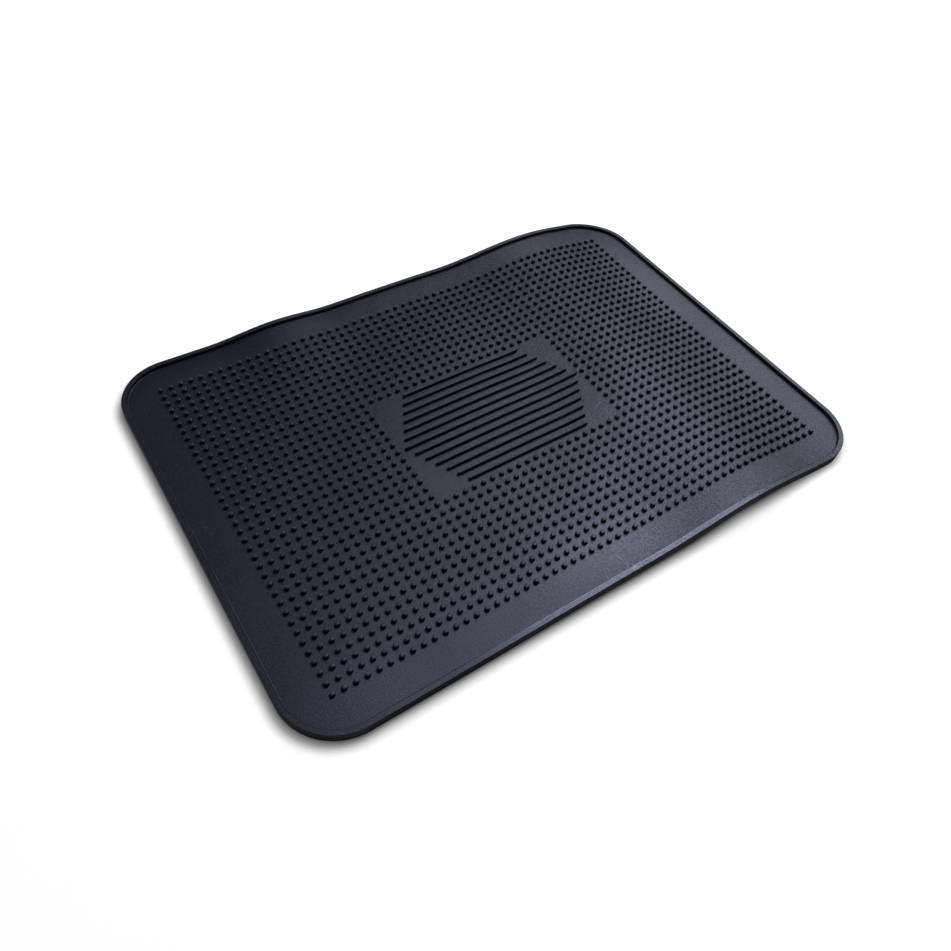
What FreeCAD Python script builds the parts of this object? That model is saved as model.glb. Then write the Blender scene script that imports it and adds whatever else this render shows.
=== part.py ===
"""Seedling heat mat: a ribbed rubber moulding over a serpentine heating cable, closed by a rubber back sheet.

Millimetres. The floor is z = 0, +Z is up, +X runs along the mat and the origin is under its middle.
The rim of the cover and the back sheet stand on the floor. The cord enters through the +X end.
"""

import math
import os

import FreeCAD
import Part

V = FreeCAD.Vector

# The moulded cover
MAT_LENGTH = 496.0
MAT_WIDTH = 347.0
CORNER_RADIUS = 42.0
WEB_THICKNESS = 1.25
LIP_HEIGHT = 2.6
LIP_WIDTH = 4.4
LIP_EDGE_RADIUS = 0.5
LIP_ROOT_RADIUS = 0.4
FOOT_RADIUS = 0.5
BORDER_WIDTH = 20.0
RIM_WIDTH = 6.0

# The ribs that stand in a hexagon in the middle
RIB_COUNT = 13
RIB_PITCH = 8.0
RIB_WIDTH = 2.8
RIB_HEIGHT = 2.4
RIB_CROWN_RADIUS = 0.5
RIB_MIDDLE_LENGTH = 164.0
RIB_OUTER_LENGTH = 112.0

# The layers, from the floor up
BASE_THICKNESS = 1.0
FOAM_THICKNESS = 1.0
FILM_THICKNESS = 0.1
SCRIM_THICKNESS = 0.15
TAPE_THICKNESS = 0.1
FOIL_THICKNESS = 0.15
LAYER_CLEARANCE = 0.05
LAYER_EDGE_GAP = 0.5
BASE_EDGE_GAP = 0.3

# The heating cable and the tapes across it
CABLE_DIAMETER = 1.5
RUN_COUNT = 12
CABLE_SIDE_MARGIN = 20.0
CABLE_END_MARGIN = 15.0
CABLE_TRAY_MARGIN = 5.0
TAPE_COUNT = 4
TAPE_PITCH = 100.0
TAPE_WIDTH = 20.0
TAPE_OVERHANG = 6.0

# The leads between the cable's ends and the junction
LEAD_DIAMETER = 1.5
LEAD_BEND_RADIUS = 6.0
TIGHT_BEND_RADIUS = 1.8
LEAD_TAPE_COUNT = 4
LEAD_TAPE_PITCH = 48.0
LEAD_TAPE_LENGTH = 8.0
LEAD_TAPE_WIDTH = 9.0

# Crimped joints and the windows that clear them
CRIMP_DIAMETER = 1.4
CRIMP_LENGTH = 6.0
SLEEVE_WALL = 0.2
SLEEVE_CLEARANCE = 0.1
SLEEVE_OVERLAP = 3.0
WINDOW_CLEARANCE = 1.0

# The junction tray and its lid
TRAY_LENGTH = 22.0
TRAY_WIDTH = 36.0
TRAY_END_GAP = 1.0
TRAY_SETBACK = 18.0
TRAY_FLOOR = 0.5
TRAY_WALL = 0.8
TRAY_CORNER_RADIUS = 2.0
NOTCH_CLEARANCE = 0.15
DIVIDER_WIDTH = 0.8
LID_THICKNESS = 0.7
LID_CLEARANCE = 0.2

# What lies in the tray: lanes are counted from its inner end
FUSE_LANE = 4.5
RETURN_LANE = 8.5
NEAR_LANE = 11.0
FUSE_LENGTH = 9.0
FUSE_WIDTH = 4.5
FUSE_CORNER_RADIUS = 0.5
FUSE_LEG_LENGTH = 2.0
FUSE_LEG_DIAMETER = 0.6
FUSE_CLEARANCE = 0.1
FUSE_TOP_GAP = 1.0
RETURN_DROP = 3.7
TERMINAL_LENGTH = 7.0
TERMINAL_SPACING = 3.4
TERMINAL_BORE = 0.9
TERMINAL_BORE_DEPTH = 4.0
TERMINAL_GAP = 1.0

# The gland in the +X border, and the slot through it for a flat two-core cord
GLAND_HEIGHT = 3.2
GLAND_NOSE_WIDTH = 12.0
GLAND_FLANGE_WIDTH = 18.0
GLAND_FLANGE_LENGTH = 6.0
GLAND_CORNER_RADIUS = 1.2
GLAND_CLEARANCE = 0.1
CORD_SLOT_WIDTH = 4.9
CORD_SLOT_HEIGHT = 2.4

# Heights that follow from the layers
BASE_TOP = BASE_THICKNESS
FOAM_TOP = BASE_TOP + FOAM_THICKNESS
FILM_TOP = FOAM_TOP + FILM_THICKNESS
SCRIM_TOP = FILM_TOP + SCRIM_THICKNESS
WIRE_RADIUS = max(CABLE_DIAMETER, LEAD_DIAMETER) / 2
WIRE_Z = SCRIM_TOP + LAYER_CLEARANCE + WIRE_RADIUS
WIRE_TOP = WIRE_Z + WIRE_RADIUS + LAYER_CLEARANCE
TAPE_TOP = WIRE_TOP + TAPE_THICKNESS
FOIL_LOW = TAPE_TOP + LAYER_CLEARANCE
CAVITY_TOP = FOIL_LOW + FOIL_THICKNESS
WEB_TOP = CAVITY_TOP + WEB_THICKNESS
LIP_TOP = WEB_TOP + LIP_HEIGHT
LID_TOP = WIRE_TOP + LID_THICKNESS

# Places that follow from the plan
CAVITY_X = MAT_LENGTH / 2 - BORDER_WIDTH
CAVITY_Y = MAT_WIDTH / 2 - BORDER_WIDTH
OUTER_RUN_Y = CAVITY_Y - CABLE_SIDE_MARGIN
RUN_PITCH = 2 * OUTER_RUN_Y / (RUN_COUNT - 1)
TRAY_HIGH_X = CAVITY_X - TRAY_END_GAP
TRAY_LOW_X = TRAY_HIGH_X - TRAY_LENGTH
TRAY_HIGH_Y = OUTER_RUN_Y - TRAY_SETBACK
TRAY_LOW_Y = TRAY_HIGH_Y - TRAY_WIDTH
CORD_Y = (TRAY_LOW_Y + TRAY_HIGH_Y) / 2
RUN_LOW_X = CABLE_END_MARGIN + RUN_PITCH / 2 - CAVITY_X
RUN_HIGH_X = TRAY_LOW_X - CABLE_TRAY_MARGIN - RUN_PITCH / 2
LEAD_START = RUN_HIGH_X + CRIMP_LENGTH
FUSE_X = TRAY_LOW_X + FUSE_LANE
RETURN_X = TRAY_LOW_X + RETURN_LANE
NEAR_X = TRAY_LOW_X + NEAR_LANE
UPPER_CRIMP_Y = TRAY_HIGH_Y - TRAY_WALL - FUSE_TOP_GAP - CRIMP_LENGTH
FUSE_HIGH_Y = UPPER_CRIMP_Y - FUSE_LEG_LENGTH
FUSE_LOW_Y = FUSE_HIGH_Y - FUSE_LENGTH
LOWER_CRIMP_Y = FUSE_LOW_Y - FUSE_LEG_LENGTH - CRIMP_LENGTH
TERMINAL_X = TRAY_HIGH_X - TRAY_WALL - TERMINAL_GAP - TERMINAL_LENGTH
TERMINAL_HIGH_Y = CORD_Y + TERMINAL_SPACING / 2
TERMINAL_LOW_Y = CORD_Y - TERMINAL_SPACING / 2


def rounded_outline(length, width, radius, z):
    """A closed wire round a rectangle with rounded corners, centred over the origin."""
    arcs = []
    for side_x, side_y, start in [(1, 1, 0), (-1, 1, 90), (-1, -1, 180), (1, -1, 270)]:
        centre = V(side_x * (length / 2 - radius), side_y * (width / 2 - radius), z)
        arcs.append(Part.makeCircle(radius, centre, V(0, 0, 1), start, start + 90))
    edges = []
    for arc, following in zip(arcs, arcs[1:] + arcs[:1]):
        edges.append(arc)
        edges.append(Part.makeLine(arc.Vertexes[-1].Point, following.Vertexes[0].Point))
    return Part.Wire(edges)


def plate(length, width, radius, low, high):
    """A flat plate with rounded corners between two heights."""
    return Part.Face(rounded_outline(length, width, radius, low)).extrude(V(0, 0, high - low))


def inset_plate(inset, low, high):
    """A plate whose outline lies a given distance inside the mat's own."""
    return plate(MAT_LENGTH - 2 * inset, MAT_WIDTH - 2 * inset, CORNER_RADIUS - inset, low, high)


def block(x_limits, y_limits, z_limits):
    """A box between three pairs of limits."""
    low = V(x_limits[0], y_limits[0], z_limits[0])
    high = V(x_limits[1], y_limits[1], z_limits[1])
    size = high - low
    return Part.makeBox(size.x, size.y, size.z, low)


def around(middle, width):
    """The two limits of a width about its middle."""
    return (middle - width / 2, middle + width / 2)


def bar(direction, length, diameter, x, y):
    """A round bar at the height of the wires, from a point and along a direction."""
    return Part.makeCylinder(diameter / 2, length, V(x, y, WIRE_Z), direction)


ALONG_X = V(1, 0, 0)
ALONG_Y = V(0, 1, 0)


def edges_at(shape, z):
    """The edges of a shape that lie whole at one height."""
    return [e for e in shape.Edges if abs(e.BoundBox.ZMin - z) + abs(e.BoundBox.ZMax - z) < 1e-5]


def lead_along(corners, radii):
    """A lead at the height of the wires: straight runs, joined by a tangent arc of its own radius at each corner."""
    points = [V(x, y, WIRE_Z) for x, y in corners]
    edges = []
    start = points[0]
    for before, corner, after, radius in zip(points, points[1:], points[2:], radii):
        back = (before - corner).normalize()
        ahead = (after - corner).normalize()
        half_angle = back.getAngle(ahead) / 2
        entry = corner + back * (radius / math.tan(half_angle))
        leave = corner + ahead * (radius / math.tan(half_angle))
        inward = (back + ahead).normalize()
        middle = corner + inward * (radius / math.sin(half_angle) - radius)
        edges.append(Part.makeLine(start, entry))
        edges.append(Part.Arc(entry, middle, leave).toShape())
        start = leave
    edges.append(Part.makeLine(start, points[-1]))
    section = Part.Wire(Part.makeCircle(LEAD_DIAMETER / 2, points[0], points[1] - points[0]))
    return Part.Wire(edges).makePipeShell([section], True, True)


def rib(length, y):
    """One rib along X, with round ends and a flat top whose edge is eased."""
    end_radius = RIB_WIDTH / 2
    ridge = block(around(0, length - RIB_WIDTH), around(y, RIB_WIDTH), (WEB_TOP, WEB_TOP + RIB_HEIGHT))
    for side in (-1, 1):
        centre = V(side * (length / 2 - end_radius), y, WEB_TOP)
        ridge = ridge.fuse(Part.makeCylinder(end_radius, RIB_HEIGHT, centre))
    ridge = ridge.removeSplitter()
    return ridge.makeFillet(RIB_CROWN_RADIUS, edges_at(ridge, WEB_TOP + RIB_HEIGHT))


def ribs():
    """The ribs, longest in the middle, so that their ends trace a hexagon."""
    outer_y = (RIB_COUNT - 1) * RIB_PITCH / 2
    made = []
    for n in range(RIB_COUNT):
        y = n * RIB_PITCH - outer_y
        shortening = abs(y) / outer_y * (RIB_MIDDLE_LENGTH - RIB_OUTER_LENGTH)
        made.append(rib(RIB_MIDDLE_LENGTH - shortening, y))
    return made


def gland_form(grown, outer_x):
    """The outside of the gland, or of its pocket: a nose through the rim, and a wider flange that stays inside."""
    heights = (BASE_TOP + GLAND_CLEARANCE - grown, BASE_TOP + GLAND_CLEARANCE + GLAND_HEIGHT + grown)
    nose = block((CAVITY_X, outer_x), around(CORD_Y, GLAND_NOSE_WIDTH + 2 * grown), heights)
    long_edges = [e for e in nose.Edges if e.BoundBox.XLength > BORDER_WIDTH / 2]
    nose = nose.makeFillet(GLAND_CORNER_RADIUS + grown, long_edges)
    flange_end = CAVITY_X + GLAND_FLANGE_LENGTH + grown
    flange = block((CAVITY_X, flange_end), around(CORD_Y, GLAND_FLANGE_WIDTH + 2 * grown), heights)
    return nose.fuse(flange).removeSplitter()


def top_cover():
    """The rubber moulding: web, upstanding lip, ribs, and the pockets in its underside."""
    body = inset_plate(0, 0, LIP_TOP).cut(inset_plate(LIP_WIDTH, WEB_TOP, LIP_TOP))
    body = body.makeFillet(LIP_EDGE_RADIUS, edges_at(body, LIP_TOP))
    body = body.makeFillet(LIP_ROOT_RADIUS, edges_at(body, WEB_TOP))
    body = body.makeFillet(FOOT_RADIUS, edges_at(body, 0))
    lid_pocket = block(
        (TRAY_LOW_X - LID_CLEARANCE, TRAY_HIGH_X + LID_CLEARANCE),
        (TRAY_LOW_Y - LID_CLEARANCE, TRAY_HIGH_Y + LID_CLEARANCE),
        (BASE_TOP, LID_TOP),
    )
    hollows = [
        inset_plate(RIM_WIDTH, 0, BASE_TOP),
        inset_plate(BORDER_WIDTH, BASE_TOP, CAVITY_TOP),
        lid_pocket,
        gland_form(GLAND_CLEARANCE, MAT_LENGTH / 2 + GLAND_CLEARANCE),
    ]
    return body.cut(hollows).fuse(ribs()).removeSplitter()


def base_sheet():
    """The back sheet, let into the rim so that both stand on the floor."""
    return inset_plate(RIM_WIDTH + BASE_EDGE_GAP, 0, BASE_TOP)


def windows():
    """What is cut from every layer, to clear the junction tray and the two sleeved splices."""
    sleeve_diameter = 2 * (WIRE_RADIUS + SLEEVE_CLEARANCE + SLEEVE_WALL)
    splice_x = (
        RUN_HIGH_X - SLEEVE_OVERLAP - WINDOW_CLEARANCE,
        LEAD_START + SLEEVE_OVERLAP + WINDOW_CLEARANCE,
    )
    cuts = []
    for y in (-OUTER_RUN_Y, OUTER_RUN_Y):
        cuts.append(block(splice_x, around(y, sleeve_diameter + 2 * WINDOW_CLEARANCE), (0, LIP_TOP)))
    tray_y = (TRAY_LOW_Y - WINDOW_CLEARANCE, TRAY_HIGH_Y + WINDOW_CLEARANCE)
    cuts.append(block((TRAY_LOW_X - WINDOW_CLEARANCE, CAVITY_X), tray_y, (0, LIP_TOP)))
    return cuts


def layer(low, high):
    """A sheet that fills the cavity's plan between two heights, with its windows cut."""
    return inset_plate(BORDER_WIDTH + LAYER_EDGE_GAP, low, high).cut(windows())


def heating_cable():
    """One unbroken cable, back and forth in equal runs, with both of its ends towards +X."""
    bend = RUN_PITCH / 2
    edges = []
    for n in range(RUN_COUNT):
        y = OUTER_RUN_Y - n * RUN_PITCH
        westward = n % 2 == 0
        start = V(RUN_HIGH_X if westward else RUN_LOW_X, y, WIRE_Z)
        end = V(RUN_LOW_X if westward else RUN_HIGH_X, y, WIRE_Z)
        edges.append(Part.makeLine(start, end))
        if n < RUN_COUNT - 1:
            crest = end + V(-bend if westward else bend, -bend, 0)
            edges.append(Part.Arc(end, crest, end - V(0, RUN_PITCH, 0)).toShape())
    section = Part.Wire(Part.makeCircle(CABLE_DIAMETER / 2, V(RUN_HIGH_X, OUTER_RUN_Y, WIRE_Z), ALONG_X))
    return Part.Wire(edges).makePipeShell([section], True, True)


def cable_tapes():
    """Strips of tape across all the runs."""
    first_x = -(TAPE_COUNT - 1) * TAPE_PITCH / 2
    strips = []
    for n in range(TAPE_COUNT):
        x_limits = around(first_x + n * TAPE_PITCH, TAPE_WIDTH)
        strips.append(block(x_limits, around(0, 2 * (OUTER_RUN_Y + TAPE_OVERHANG)), (WIRE_TOP, TAPE_TOP)))
    return Part.makeCompound(strips)


def lead_tapes():
    """Short strips that hold the long lead down beside the cable's bends."""
    strips = []
    for n in range(LEAD_TAPE_COUNT):
        y = TRAY_LOW_Y - (n + 0.5) * LEAD_TAPE_PITCH
        strips.append(block(around(NEAR_X, LEAD_TAPE_WIDTH), around(y, LEAD_TAPE_LENGTH), (WIRE_TOP, TAPE_TOP)))
    return Part.makeCompound(strips)


def splice_crimps():
    """A barrel on each end of the cable."""
    barrels = [bar(ALONG_X, CRIMP_LENGTH, CRIMP_DIAMETER, RUN_HIGH_X, y) for y in (-OUTER_RUN_Y, OUTER_RUN_Y)]
    return Part.makeCompound(barrels)


def splice_sleeves():
    """Shrunk sleeves over the two barrels and the insulation beside them."""
    bore = 2 * (WIRE_RADIUS + SLEEVE_CLEARANCE)
    length = CRIMP_LENGTH + 2 * SLEEVE_OVERLAP
    start_x = RUN_HIGH_X - SLEEVE_OVERLAP
    sleeves = []
    for y in (-OUTER_RUN_Y, OUTER_RUN_Y):
        outside = bar(ALONG_X, length, bore + 2 * SLEEVE_WALL, start_x, y)
        sleeves.append(outside.cut(bar(ALONG_X, length, bore, start_x, y)))
    return Part.makeCompound(sleeves)


def far_lead():
    """From the far splice round into the tray, to the thermal fuse."""
    corners = [(LEAD_START, OUTER_RUN_Y), (FUSE_X, OUTER_RUN_Y), (FUSE_X, UPPER_CRIMP_Y + CRIMP_LENGTH)]
    return lead_along(corners, [LEAD_BEND_RADIUS])


def near_lead():
    """From the near splice, past the cable's bends and into the tray, to a terminal."""
    corners = [
        (LEAD_START, -OUTER_RUN_Y),
        (NEAR_X, -OUTER_RUN_Y),
        (NEAR_X, TERMINAL_LOW_Y),
        (TERMINAL_X, TERMINAL_LOW_Y),
    ]
    return lead_along(corners, [LEAD_BEND_RADIUS, TIGHT_BEND_RADIUS])


def fuse_lead():
    """From the thermal fuse, in a loop inside the tray, to the other terminal."""
    turn_y = LOWER_CRIMP_Y - RETURN_DROP
    corners = [
        (FUSE_X, LOWER_CRIMP_Y),
        (FUSE_X, turn_y),
        (RETURN_X, turn_y),
        (RETURN_X, TERMINAL_HIGH_Y),
        (TERMINAL_X, TERMINAL_HIGH_Y),
    ]
    return lead_along(corners, [TIGHT_BEND_RADIUS] * 3)


def thermal_fuse():
    """A flat thermal fuse with a round leg out of each end."""
    heights = (BASE_TOP + TRAY_FLOOR + FUSE_CLEARANCE, WIRE_TOP - FUSE_CLEARANCE)
    body = block(around(FUSE_X, FUSE_WIDTH), (FUSE_LOW_Y, FUSE_HIGH_Y), heights)
    long_edges = [e for e in body.Edges if e.BoundBox.YLength > FUSE_LENGTH / 2]
    body = body.makeFillet(FUSE_CORNER_RADIUS, long_edges)
    leg_span = FUSE_LENGTH + 2 * FUSE_LEG_LENGTH
    return body.fuse(bar(ALONG_Y, leg_span, FUSE_LEG_DIAMETER, FUSE_X, FUSE_LOW_Y - FUSE_LEG_LENGTH))


def fuse_crimps():
    """A barrel on each leg of the thermal fuse."""
    barrels = [bar(ALONG_Y, CRIMP_LENGTH, CRIMP_DIAMETER, FUSE_X, y) for y in (LOWER_CRIMP_Y, UPPER_CRIMP_Y)]
    return Part.makeCompound(barrels)


def cord_terminals():
    """Two crimped terminals, each with an open bore for a core of the cord."""
    terminals = []
    bore_x = TERMINAL_X + TERMINAL_LENGTH - TERMINAL_BORE_DEPTH
    for y in (TERMINAL_LOW_Y, TERMINAL_HIGH_Y):
        barrel = bar(ALONG_X, TERMINAL_LENGTH, CRIMP_DIAMETER, TERMINAL_X, y)
        terminals.append(barrel.cut(bar(ALONG_X, TERMINAL_BORE_DEPTH, TERMINAL_BORE, bore_x, y)))
    return Part.makeCompound(terminals)


def tray_plate(inset, low, high):
    """A plate on the tray's plan, set in from its outline."""
    plan = plate(TRAY_LENGTH - 2 * inset, TRAY_WIDTH - 2 * inset, TRAY_CORNER_RADIUS - inset, low, high)
    return plan.translated(V((TRAY_LOW_X + TRAY_HIGH_X) / 2, CORD_Y, 0))


def junction_tray():
    """An open moulded tray, with notches for the leads, a way in for the cord's cores and a wall between terminals."""
    tray = tray_plate(0, BASE_TOP, WIRE_TOP).cut(tray_plate(TRAY_WALL, BASE_TOP + TRAY_FLOOR, WIRE_TOP))
    notch_width = LEAD_DIAMETER + 2 * NOTCH_CLEARANCE
    notch_heights = (WIRE_Z - notch_width / 2, WIRE_TOP)
    far_notch = block(around(FUSE_X, notch_width), around(TRAY_HIGH_Y, 2 * TRAY_WALL), notch_heights)
    near_notch = block(around(NEAR_X, notch_width), around(TRAY_LOW_Y, 2 * TRAY_WALL), notch_heights)
    cord_way = block(
        around(TRAY_HIGH_X, 2 * TRAY_WALL),
        around(CORD_Y, CORD_SLOT_WIDTH + 2 * NOTCH_CLEARANCE),
        (BASE_TOP + TRAY_FLOOR, WIRE_TOP),
    )
    divider = block(
        (TERMINAL_X, TERMINAL_X + TERMINAL_LENGTH),
        around(CORD_Y, DIVIDER_WIDTH),
        (BASE_TOP + TRAY_FLOOR, WIRE_TOP),
    )
    return tray.cut([far_notch, near_notch, cord_way]).fuse(divider).removeSplitter()


def cord_gland():
    """The rubber gland, with an oval slot right through it for the flat cord."""
    centre_z = BASE_TOP + GLAND_CLEARANCE + GLAND_HEIGHT / 2
    flat = CORD_SLOT_WIDTH - CORD_SLOT_HEIGHT
    slot = block((CAVITY_X, MAT_LENGTH / 2), around(CORD_Y, flat), around(centre_z, CORD_SLOT_HEIGHT))
    for side in (-1, 1):
        centre = V(CAVITY_X, CORD_Y + side * flat / 2, centre_z)
        slot = slot.fuse(Part.makeCylinder(CORD_SLOT_HEIGHT / 2, BORDER_WIDTH, centre, ALONG_X))
    return gland_form(0, MAT_LENGTH / 2).cut(slot.removeSplitter())


PARTS = {
    "top_cover": top_cover,
    "base_sheet": base_sheet,
    "insulation_foam": lambda: layer(BASE_TOP, FOAM_TOP),
    "reflector_film": lambda: layer(FOAM_TOP, FILM_TOP),
    "carrier_scrim": lambda: layer(FILM_TOP, SCRIM_TOP),
    "heating_cable": heating_cable,
    "cable_tapes": cable_tapes,
    "lead_tapes": lead_tapes,
    "heat_spreader": lambda: layer(FOIL_LOW, CAVITY_TOP),
    "splice_crimps": splice_crimps,
    "splice_sleeves": splice_sleeves,
    "far_lead": far_lead,
    "near_lead": near_lead,
    "fuse_lead": fuse_lead,
    "thermal_fuse": thermal_fuse,
    "fuse_crimps": fuse_crimps,
    "cord_terminals": cord_terminals,
    "junction_tray": junction_tray,
    "junction_lid": lambda: tray_plate(0, WIRE_TOP, LID_TOP),
    "cord_gland": cord_gland,
}


os.makedirs("parts", exist_ok=True)
for node, make in PARTS.items():
    make().exportStep(f"parts/{node}.step")
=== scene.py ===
"""Seedling heat mat: a moulded rubber cover with a lip, a field of nubs and a hexagon of ribs.

Metres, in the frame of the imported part: the floor is z = 0, +X runs along the mat, +Z is up.
The mat is flexible and lies as it was unpacked, in a low wave, so every piece is laid along the same wave.
"""

import math

import bmesh
import bpy
import numpy as np
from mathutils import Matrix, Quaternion, Vector


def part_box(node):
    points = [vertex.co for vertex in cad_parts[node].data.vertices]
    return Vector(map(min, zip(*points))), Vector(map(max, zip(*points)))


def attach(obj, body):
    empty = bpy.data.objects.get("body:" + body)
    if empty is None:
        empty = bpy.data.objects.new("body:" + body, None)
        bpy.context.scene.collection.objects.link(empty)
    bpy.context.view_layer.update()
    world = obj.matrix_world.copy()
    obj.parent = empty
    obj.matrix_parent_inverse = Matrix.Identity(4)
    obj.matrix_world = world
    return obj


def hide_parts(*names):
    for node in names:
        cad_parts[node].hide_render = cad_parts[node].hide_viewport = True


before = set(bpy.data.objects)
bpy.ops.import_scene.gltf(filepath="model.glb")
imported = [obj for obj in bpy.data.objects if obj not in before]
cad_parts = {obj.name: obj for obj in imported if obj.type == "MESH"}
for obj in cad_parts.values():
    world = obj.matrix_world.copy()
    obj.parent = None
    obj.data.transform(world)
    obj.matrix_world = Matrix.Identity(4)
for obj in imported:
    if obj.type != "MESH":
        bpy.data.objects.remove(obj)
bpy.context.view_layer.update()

MM = 0.001

# ---- sizes

COVER_LOW, COVER_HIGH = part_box("top_cover")
SHEET_LOW, SHEET_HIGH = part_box("base_sheet")
GLAND_LOW, GLAND_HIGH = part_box("cord_gland")
LID_LOW, LID_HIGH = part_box("junction_lid")
LENGTH = COVER_HIGH.x - COVER_LOW.x
WIDTH = COVER_HIGH.y - COVER_LOW.y
LIP_TOP = COVER_HIGH.z
SHEET_TOP = SHEET_HIGH.z
CAVITY_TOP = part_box("heat_spreader")[1].z
SHEET_INSET = SHEET_LOW.x - COVER_LOW.x
CORD_Y = (GLAND_LOW.y + GLAND_HIGH.y) / 2

CORNER_RADIUS = 42 * MM
LIP_WIDTH = 4.4 * MM
LIP_HEIGHT = 2.6 * MM
WEB_TOP = LIP_TOP - LIP_HEIGHT
LIP_EDGE_RADIUS = 0.5 * MM
LIP_ROOT_RADIUS = 0.4 * MM
FOOT_RADIUS = 0.5 * MM
RIM_WIDTH = 6 * MM
BORDER_WIDTH = 20 * MM

PITCH = 8 * MM
NUB_COLUMNS = 55
NUB_ROWS = 37
NUB_RADIUS = 2.0 * MM
NUB_TOP_RADIUS = 1.9 * MM
NUB_HEIGHT = 2.6 * MM
NUB_CROWN_RADIUS = 0.95 * MM
CLEAR_COLUMNS = 21
CLEAR_ROWS = 13

RIB_COUNT = 13
RIB_MIDDLE_LENGTH = 164 * MM
RIB_OUTER_LENGTH = 112 * MM
RIB_WIDTH = 2.3 * MM
RIB_HEIGHT = 2.7 * MM
RIB_CROWN_RADIUS = 0.9 * MM

ROOT_RADIUS = 0.3 * MM
SINK = 0.3 * MM

GLAND_NOSE_WIDTH = 12 * MM
GLAND_FLANGE_LENGTH = 6 * MM
GLAND_CORNER_RADIUS = 1.2 * MM
GLAND_CLEARANCE = 0.1 * MM
LID_CLEARANCE = 0.2 * MM

CELL = 4 * MM                  # the grid that lets the sheets follow the wave
CORNER_CELLS = 11
SUPPORT = 0.12 * MM            # how close a fillet's neighbouring ring lies
SHARP_ANGLE = math.radians(38)
WELD = 1e-6                    # vertices closer than this are one

# ridge: across the +X half, leaning, steeper towards +X, a little higher at both long edges
RIDGE_X = 137 * MM
RIDGE_LEAN = 0.08
RIDGE_REACHES = (103 * MM, 93 * MM)
RIDGE_HEIGHT = 6.9 * MM
RIDGE_EDGE_RISE = 1.9 * MM
# swell: the whole middle, very low
SWELL_X = 20 * MM
SWELL_REACH = 170 * MM
SWELL_HEIGHT = 2.5 * MM
# hump: in the far edge alone, towards -X
HUMP_X = -111 * MM
HUMP_REACH = 57 * MM
HUMP_HEIGHT = 4.0 * MM
HUMP_START = 0.2               # as a share of the half width


# ---- the wave that the mat lies in

def bump(distance, reach):
    """1 in the middle, falling smoothly to 0 at the reach."""
    share = np.clip(np.abs(distance) / reach, 0, 1)
    return np.cos(math.pi / 2 * share) ** 2


def lift(x, y):
    """How far the mat stands off the floor at a place in plan."""
    side = y / (WIDTH / 2)
    ridge_x = x - (RIDGE_X + RIDGE_LEAN * y)
    ridge_reach = np.where(ridge_x < 0, *RIDGE_REACHES)
    ridge = (RIDGE_HEIGHT + RIDGE_EDGE_RISE * side**2) * bump(ridge_x, ridge_reach)
    swell = SWELL_HEIGHT * bump(x - SWELL_X, SWELL_REACH)
    far_share = np.clip((side - HUMP_START) / (1 - HUMP_START), 0, 1.2) ** 2
    far_hump = HUMP_HEIGHT * far_share * bump(x - HUMP_X, HUMP_REACH)
    return ridge + swell + far_hump


def lay_on_wave(mesh):
    """Lifts every vertex of a flat-made mesh along the wave."""
    co = np.zeros(len(mesh.vertices) * 3)
    mesh.vertices.foreach_get("co", co)
    co = co.reshape(-1, 3)
    co[:, 2] += lift(co[:, 0], co[:, 1])
    mesh.vertices.foreach_set("co", co.ravel())
    mesh.update()


def new_object(name, data):
    made = bpy.data.objects.new(name, data)
    bpy.context.scene.collection.objects.link(made)
    return made


# ---- nodes

def linear(code):
    """An sRGB hex value as linear RGBA."""
    channels = [int(code[n:n + 2], 16) / 255 for n in (1, 3, 5)]
    return (*[c / 12.92 if c <= 0.04045 else ((c + 0.055) / 1.055) ** 2.4 for c in channels], 1)


def add(tree, kind, inputs=None, out=0, **settings):
    """Adds a node: its settings, then its inputs, each a value or a socket to link from. Gives back one output."""
    node = tree.nodes.new(kind)
    for name, value in settings.items():
        setattr(node, name, value)
    for name, value in (inputs or {}).items():
        if isinstance(value, bpy.types.NodeSocket):
            tree.links.new(value, node.inputs[name])
        else:
            node.inputs[name].default_value = value
    return node.outputs[out] if node.outputs else None


SMOOTH = {"interpolation_type": "SMOOTHSTEP"}


def start_material(name):
    """An empty material and the Object coordinates that its patterns read."""
    material = bpy.data.materials.new(name)
    material.use_nodes = True
    tree = material.node_tree
    tree.nodes.clear()
    return material, tree, add(tree, "ShaderNodeTexCoord", out="Object")


def finish_material(material, inputs):
    shader = add(material.node_tree, "ShaderNodeBsdfPrincipled", inputs)
    add(material.node_tree, "ShaderNodeOutputMaterial", {"Surface": shader})
    return material


# ---- materials

WAVE_PERIOD = math.pi / 10     # the length of one band of a Wave Texture at scale 1
GATE = (0, -168 * MM)          # where the rubber ran into the mould, at the middle of the near edge
SCUFFS = (                     # light marks: middle x and y, direction in degrees, length, width
    (119 * MM, 85 * MM, -8, 9 * MM, 0.9 * MM),
    (-1 * MM, -165 * MM, 62, 9 * MM, 0.6 * MM),
    (1 * MM, -170 * MM, 82, 5 * MM, 1.0 * MM),
    (-1 * MM, -171 * MM, 12, 5 * MM, 1.0 * MM),
    (3 * MM, -171.5 * MM, 60, 5 * MM, 1.1 * MM),
    (2 * MM, -168 * MM, 118, 6 * MM, 0.6 * MM),
    (-2 * MM, -160 * MM, 100, 12 * MM, 0.5 * MM),
    (76 * MM, -37 * MM, 20, 16 * MM, 0.7 * MM),
)
RUBBED = (0, -171 * MM, 145 * MM, 25 * MM)           # the near lip: middle x and y, half length, half depth
DULLED = (-7 * MM, 18 * MM, 226 * MM, 123 * MM, 37)  # where a tray stood: the same, then degrees
POLISHED = (                   # where hands hold the mat: middle x and y, half length, half depth, added shine
    (10 * MM, -146 * MM, 75 * MM, 28 * MM, 0.16),
    (214 * MM, 74 * MM, 38 * MM, 85 * MM, 0.24),
    (-205 * MM, -160 * MM, 60 * MM, 45 * MM, 0.22),
)


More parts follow.
